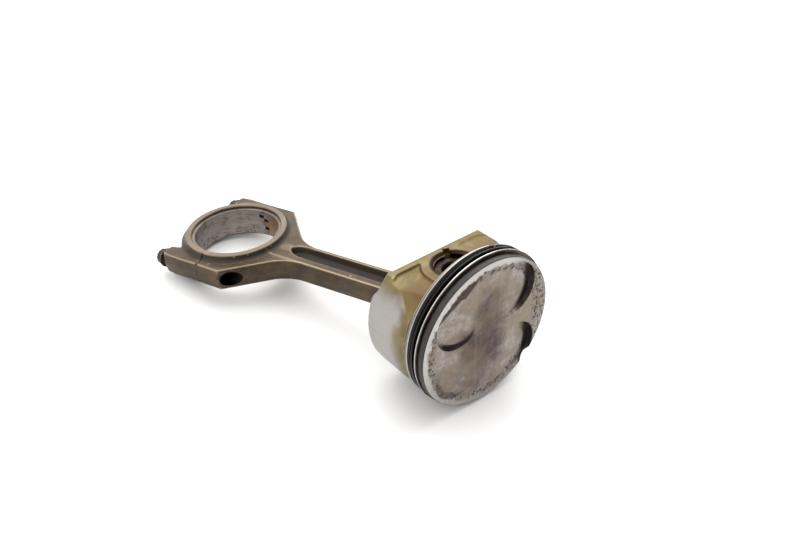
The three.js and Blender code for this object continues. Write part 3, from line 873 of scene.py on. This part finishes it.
class ROD_OT_shells(Maker):
    """Two thin bearing shells with chamfered edges and locating tangs"""

    bl_idname = "rod.make_shells"
    bl_label = "Bearing shells"

    def execute(self, context):
        finish = bearing_metal("Bearing metal")
        outer, inner, half, parting = 26.75, 25.1, 8.9, 0.06
        edge = 0.35
        profile = mirrored([(inner, half - edge), (inner + edge, half), (outer, half)])
        for name, side in (("bearing_shell_upper", 1), ("bearing_shell_lower", -1)):
            keep = slice_between(*sorted((side * parting, side * SIDE)))
            shell = carve(lathe(profile, ROUND, closed=True), "INTERSECT", keep)
            low, high = sorted((side * -1, side * 3.4))
            slots = [
                block((low, 24, z - 1.1), (high, 27.4, z + 1.1))
                for z in ((-3.6, 2.2) if side > 0 else (4.6,))
            ]
            carve(shell, "DIFFERENCE", *slots)
            place(shell, name, ROD, "rod", "bearing_metal", finish)
        return {"FINISHED"}


class ROD_OT_bush(Maker):
    """Bronze bush pressed into the small end"""

    bl_idname = "rod.make_bush"
    bl_label = "Small end bush"

    def execute(self, context):
        inner, outer, half = 10.72, 12.2, 9.5
        profile = mirrored([(inner, half - 0.4), (inner + 0.4, half), (outer, half)])
        bush = lathe(profile, 96, Matrix.Translation((CENTRES, 0, 0)), closed=True)
        finish = bush_bronze("Bush bronze")
        place(bush, "small_end_bush", ROD, "rod", "bush_bronze", finish)
        return {"FINISHED"}


class ROD_OT_piston(Maker):
    """Slipper-skirt piston: turned crown and ring belt over a cast body"""

    bl_idname = "rod.make_piston"
    bl_label = "Piston"

    def execute(self, context):
        size = sizes("piston_sizes")
        piston = self.casting(size)
        carve(piston, "UNION", self.ring_belt(size))
        finish = piston_alloy("Piston alloy")
        place(piston, "piston", PISTON, "piston", "piston_alloy", finish, 32)
        return {"FINISHED"}

    def ring_belt(self, size):
        """Turned disc with ring grooves, its crown pressed in at the valve pockets."""
        land, crown = size["land"], size["crown"]
        chamfer = 0.12
        profile = [(0, 18), (32.5, 18), (34.4, 17.3), (35, 15.5), (35, 10.9)]
        profile += [(land - 0.4, 10.9), (land, 11.3)]
        for bottom, top, root in GROOVES:
            profile += [(land, bottom - chamfer), (land - chamfer, bottom)]
            profile += [(root + 0.2, bottom), (root, bottom + 0.2)]
            profile += [(root, top - 0.2), (root + 0.2, top)]
            profile += [(land - chamfer, top), (land, top + chamfer)]
        profile += [(land, crown - 0.3), (land - 0.1, crown - 0.1), (land - 0.3, crown)]
        rings = 78
        start = land - 0.7
        profile += [(start * (1 - i / rings), crown) for i in range(rings + 1)]
        belt = lathe(profile, 300, Z_TO_X)
        for vert in belt.data.vertices:
            x, y, z = vert.co
            if x > crown - 0.5:
                vert.co.x = min(x, crown - self.pocket_depth(y, z, size))
        return belt

    def pocket_depth(self, y, z, size):
        depth = 0.0
        for middle_y, middle_z, radius, slope in POCKETS:
            out = y * math.copysign(1, middle_y) - size["crease"]
            reach = radius - math.hypot(y - middle_y, z - middle_z)
            share = min(1, max(0, reach / size["pocket_wall"]))
            share = share * share * (3 - 2 * share)
            depth = max(depth, share * max(0, out) * math.tan(math.radians(slope)))
        return depth

    def casting(self, size):
        """Skirt, side walls and pin bosses, rounded as cast, then bored for the pin."""
        radius = size["radius"]
        outer = [(0, -19.5), (radius - 0.7, -19.5), (radius, -18.8)]
        outer += [(radius, 10.9), (0, 10.9)]
        body = lathe(outer, 160, Z_TO_X)
        carve(body, "INTERSECT", block((-20, -50, -30), (12, 50, 30)))
        trims = []
        for hand in (1, -1):
            corner = [(-30, hand * 18), (-19.5, hand * 18), (-18.4, hand * 19.4)]
            corner += [(-16.9, hand * 21.8), (-16.5, hand * 23.5), (-16.5, hand * 60)]
            corner += [(-30, hand * 60)]
            trims.append(slab(corner, -50, 50, Matrix.Rotation(math.pi / 2, 4, "X")))
        carve(body, "DIFFERENCE", *trims)
        carve(body, "DIFFERENCE", self.hollow())
        reliefs = []
        for side in (1, -1):
            for hand in (1, -1):
                reliefs += self.relief(side, hand)
        carve(body, "DIFFERENCE", *reliefs)
        soften(body, size["skin"], 16)

        half = 30 + PAST
        tools = [bar(10.75, -half, half, 96)]
        for side in (1, -1):
            groove = [(9, side * 27.1), (11.9, side * 27.1)]
            groove += [(11.9, side * 28.7), (9, side * 28.7)]
            tools.append(lathe(groove, 96, closed=True))
            mouth = [(9, side * 28.2), (10.7, side * 28.7), (12.2, side * 30.2)]
            mouth += [(13.6, side * half), (9, side * half)]
            tools.append(lathe(mouth, 96, closed=True))
            low, high = sorted((side * 26.8, side * half))
            slot = block((7, -2, low), (14.6, 2, high))
            slot.data.transform(Matrix.Rotation(math.radians(158), 4, "Z"))
            tools.append(slot)
        return carve(body, "DIFFERENCE", *tools)

    def hollow(self):
        """The space inside the casting, less the pin bosses and their columns."""
        inner = [(0, -21), (39.2, -21), (39.2, 6.5), (36.5, 10.9), (36.5, 12), (0, 12)]
        space = lathe(inner, 128, Z_TO_X)
        edge = [(39.5, 13), (26, 23.4), (-26, 23.4), (-39.5, 13)]
        across = slab(mirrored(edge), -22, 13, Z_TO_X)
        carve(space, "INTERSECT", across)
        bosses = []
        for side in (1, -1):
            low, high = sorted((side * 10.8, side * 26))
            boss = bar(16, low, high, 72, edge=0.8)
            bosses.append(carve(boss, "UNION", block((0, -13, low), (14, 13, high))))
        return carve(space, "DIFFERENCE", *bosses)

    def relief(self, side, hand):
        """Cutters for the shallow pocket beside a boss and its run into the skirt."""
        edge = [(-12.4, hand * 4), (-12.4, hand * 27), (-9.5, hand * 32), (-4, hand * 34)]
        edge += [(12, hand * 34), (12, hand * 4)]
        low, high = sorted((side * (27.9 if hand < 0 else 28.9), side * 32))
        flat = slab(edge, low, high)
        carve(flat, "DIFFERENCE", bar(17.3, min(low, high) - 1, max(low, high) + 1, 72))
        edge = [(26.5, 27), (33, 23.2), (38, 19), (50, 12), (50, 40), (26.5, 40)]
        corner = [(hand * y, side * z) for y, z in edge]
        run = slab(corner, -14, 12, Z_TO_X)
        slant = 0.30 * side
        lean = Matrix.Identity(4)
        lean[2][0], lean[2][3] = -slant, slant * 10.9
        run.data.transform(lean)
        return [flat, run]


class ROD_OT_pin(Maker):
    """Hollow wrist pin and the two wire circlips that keep it in"""

    bl_idname = "rod.make_pin"
    bl_label = "Wrist pin and circlips"

    def execute(self, context):
        half = 26.7
        profile = [(6.2, half - 0.8), (7.0, half), (10.0, half), (10.5, half - 0.5)]
        pin = lathe(mirrored(profile), 128, closed=True)
        place(pin, "wrist_pin", PISTON, "wrist_pin", "pin_steel", pin_steel("Pin steel"))
        finish = spring_steel("Spring steel")
        wire, ring = 0.62, 11.1
        turns = [FULL_TURN * i / 12 for i in range(12)]
        section = [(ring + wire * math.cos(turn), wire * math.sin(turn)) for turn in turns]
        for name, z in (("circlip_upper", 27.9), ("circlip_lower", -27.9)):
            start, sweep = math.radians(135 + 32), math.radians(360 - 64)
            clip = lathe(section, 80, Matrix.Translation((0, 0, z)), True, start, sweep)
            place(clip, name, PISTON, "piston", "clip_steel", finish)
        return {"FINISHED"}


class ROD_OT_rings(Maker):
    """Two compression rings and a three-piece oil ring, sprung in their grooves"""

    bl_idname = "rod.make_rings"
    bl_label = "Piston rings"

    def execute(self, context):
        bright, rubbed, pale = (0.62, 0.6, 0.57), (0.42, 0.41, 0.4), (0.2, 0.18, 0.16)
        grey, black = (0.12, 0.092, 0.074), (0.012, 0.010, 0.010)
        finishes = {
            "top_compression_ring": ("ring_steel", grey, bright, 43.9, 20.2, 0.26),
            "second_compression_ring": ("ring_iron", black, black, 43.6, 18, 0.36),
            "oil_ring_upper_rail": ("ring_steel", pale, rubbed, 43.6, 16, 0.24),
            "oil_ring_expander": ("clip_steel", black, grey, 42.2, 16, 0.4),
            "oil_ring_lower_rail": ("ring_steel", (0.12, 0.1, 0.08), grey, 43.1, 16, 0.28),
        }
        for name, ring in RINGS.items():
            body = name.replace("_compression", "").replace("oil_ring", "oil")
            top, height, radius, wall, (sag_y, sag_z), gap_at, gap_half = ring
            edge = min(0.14, height / 4)
            inner = radius - wall
            section = [(inner, top - height), (radius - edge, top - height)]
            section += [(radius, top - height + edge), (radius, top - edge)]
            section += [(radius - edge, top), (inner, top)]
            start = math.radians(gap_at + gap_half)
            sweep = math.radians(360 - 2 * gap_half)
            shift = Matrix.Translation((0, sag_y, sag_z)) @ Z_TO_X
            made = lathe(section, 288, shift, True, start, sweep)
            if name == "oil_ring_expander":
                self.crimp(made)
            slot, *looks = finishes[name]
            label = name.replace("_", " ").capitalize()
            place(made, name, PISTON, body, slot, ring_finish(label, *looks))
        return {"FINISHED"}

    def crimp(self, ring):
        """Waves the expander along the piston so that it springs the rails apart."""
        waves, rise = 36, 0.18
        for vert in ring.data.vertices:
            turn = math.atan2(vert.co.z, vert.co.y)
            vert.co.x += rise * math.sin(waves * turn)


# ---------------------------------------------------------------------------- stage


class ROD_OT_stage(Maker):
    """Pale bench top, soft light and the camera"""

    bl_idname = "rod.make_stage"
    bl_label = "Stage"

    def execute(self, context):
        studio = context.scene.studio_sizes
        bm = bmesh.new()
        bmesh.ops.create_grid(bm, x_segments=8, y_segments=8, size=3.0)
        bench = solid(bm)
        bench.name = "bench_top"
        bench.data.materials.append(self.bench_finish())
        self.lights(context.scene, studio)
        self.camera(context.scene, studio)
        context.scene.view_settings.view_transform = "Standard"
        return {"FINISHED"}

    def bench_finish(self):
        bench = Finish("Bench top", Matrix.Scale(MM, 4))
        cloud = bench.cloud(0.01, detail=3)
        base = bench.mix(cloud.above(0.35, 0.65), (0.86, 0.857, 0.85), (0.88, 0.88, 0.876))
        return bench.shade(base, 0.55, 0.0, bench.cloud(0.08, detail=5), 0.08)

    def lights(self, scene, studio):
        world = bpy.data.worlds.new("Studio")
        world.use_nodes = True
        room = Nodes(world.node_tree)
        toward = room.node("ShaderNodeTexCoord").outputs["Generated"]
        inputs = {0: toward, 1: Vector((-0.45, 0.55, 0.7)).normalized()}
        facing = room.value("ShaderNodeVectorMath", {"operation": "DOT_PRODUCT"}, inputs, 1)
        strength = studio.sky * (0.34 + 1.3 * facing.above(-0.35, 0.95))
        sky = world.node_tree.nodes["Background"]
        room.feed(sky, {"Color": (1.0, 0.995, 0.985, 1), "Strength": strength})
        scene.world = world
        for name, power, size, spot in (
            ("Key", studio.key, 1.5, (-0.35, 0.55, 0.95)),
            ("Fill", studio.key * 0.5, 1.2, (-0.5, -0.8, 0.7)),
        ):
            lamp = bpy.data.lights.new(name, "AREA")
            lamp.energy = power
            lamp.size = size
            stand = bpy.data.objects.new(name, lamp)
            stand.location = spot
            aim = Vector((0, 0, 0.03)) - stand.location
            stand.rotation_euler = aim.to_track_quat("-Z", "Y").to_euler()
            scene.collection.objects.link(stand)

    def camera(self, scene, studio):
        aim = PIN_CENTRE + Vector((-0.04679, 0.02529, -0.01076))
        turn, rise = studio.azimuth, studio.elevation
        flat = math.cos(rise)
        back = Vector((math.sin(turn) * flat, -math.cos(turn) * flat, math.sin(rise)))
        lens = bpy.data.cameras.new("Camera")
        lens.lens = studio.lens
        lens.sensor_width = 36
        lens.clip_start, lens.clip_end = 0.02, 20
        camera = bpy.data.objects.new("Camera", lens)
        level = (-back).to_track_quat("-Z", "Y")
        camera.rotation_mode = "QUATERNION"
        camera.rotation_quaternion = level @ Quaternion((0, 0, 1), studio.roll)
        camera.location = aim + back * studio.distance
        scene.collection.objects.link(camera)
        scene.camera = camera


class ROD_PT_panel(bpy.types.Panel):
    """Lists the sizes and the operators in the sidebar"""

    bl_idname = "ROD_PT_panel"
    bl_label = "Connecting rod"
    bl_space_type = "VIEW_3D"
    bl_region_type = "UI"
    bl_category = "Rod"

    def draw(self, context):
        for group, kind in GROUPS.items():
            box = self.layout.box()
            box.label(text=group.replace("_", " ").capitalize())
            for name in kind.__annotations__:
                box.prop(getattr(context.scene, group), name)
        for operator in OPERATORS:
            self.layout.operator(operator.bl_idname)


GROUPS = {
    "rod_sizes": RodSizes,
    "piston_sizes": PistonSizes,
    "finishes": Finishes,
    "studio_sizes": StudioSizes,
}
OPERATORS = (
    ROD_OT_body,
    ROD_OT_cap,
    ROD_OT_bolts,
    ROD_OT_shells,
    ROD_OT_bush,
    ROD_OT_piston,
    ROD_OT_pin,
    ROD_OT_rings,
    ROD_OT_stage,
)


def register():
    for kind in (*GROUPS.values(), *OPERATORS, ROD_PT_panel):
        bpy.utils.register_class(kind)
    for group, kind in GROUPS.items():
        setattr(bpy.types.Scene, group, PointerProperty(type=kind))


def unregister():
    for group in GROUPS:
        delattr(bpy.types.Scene, group)
    for kind in reversed((*GROUPS.values(), *OPERATORS, ROD_PT_panel)):
        bpy.utils.unregister_class(kind)


def main():
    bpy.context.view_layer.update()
    register()
    for operator in OPERATORS:
        module, name = operator.bl_idname.split(".")
        getattr(getattr(bpy.ops, module), name)()


if __name__ == "__main__":
    main()
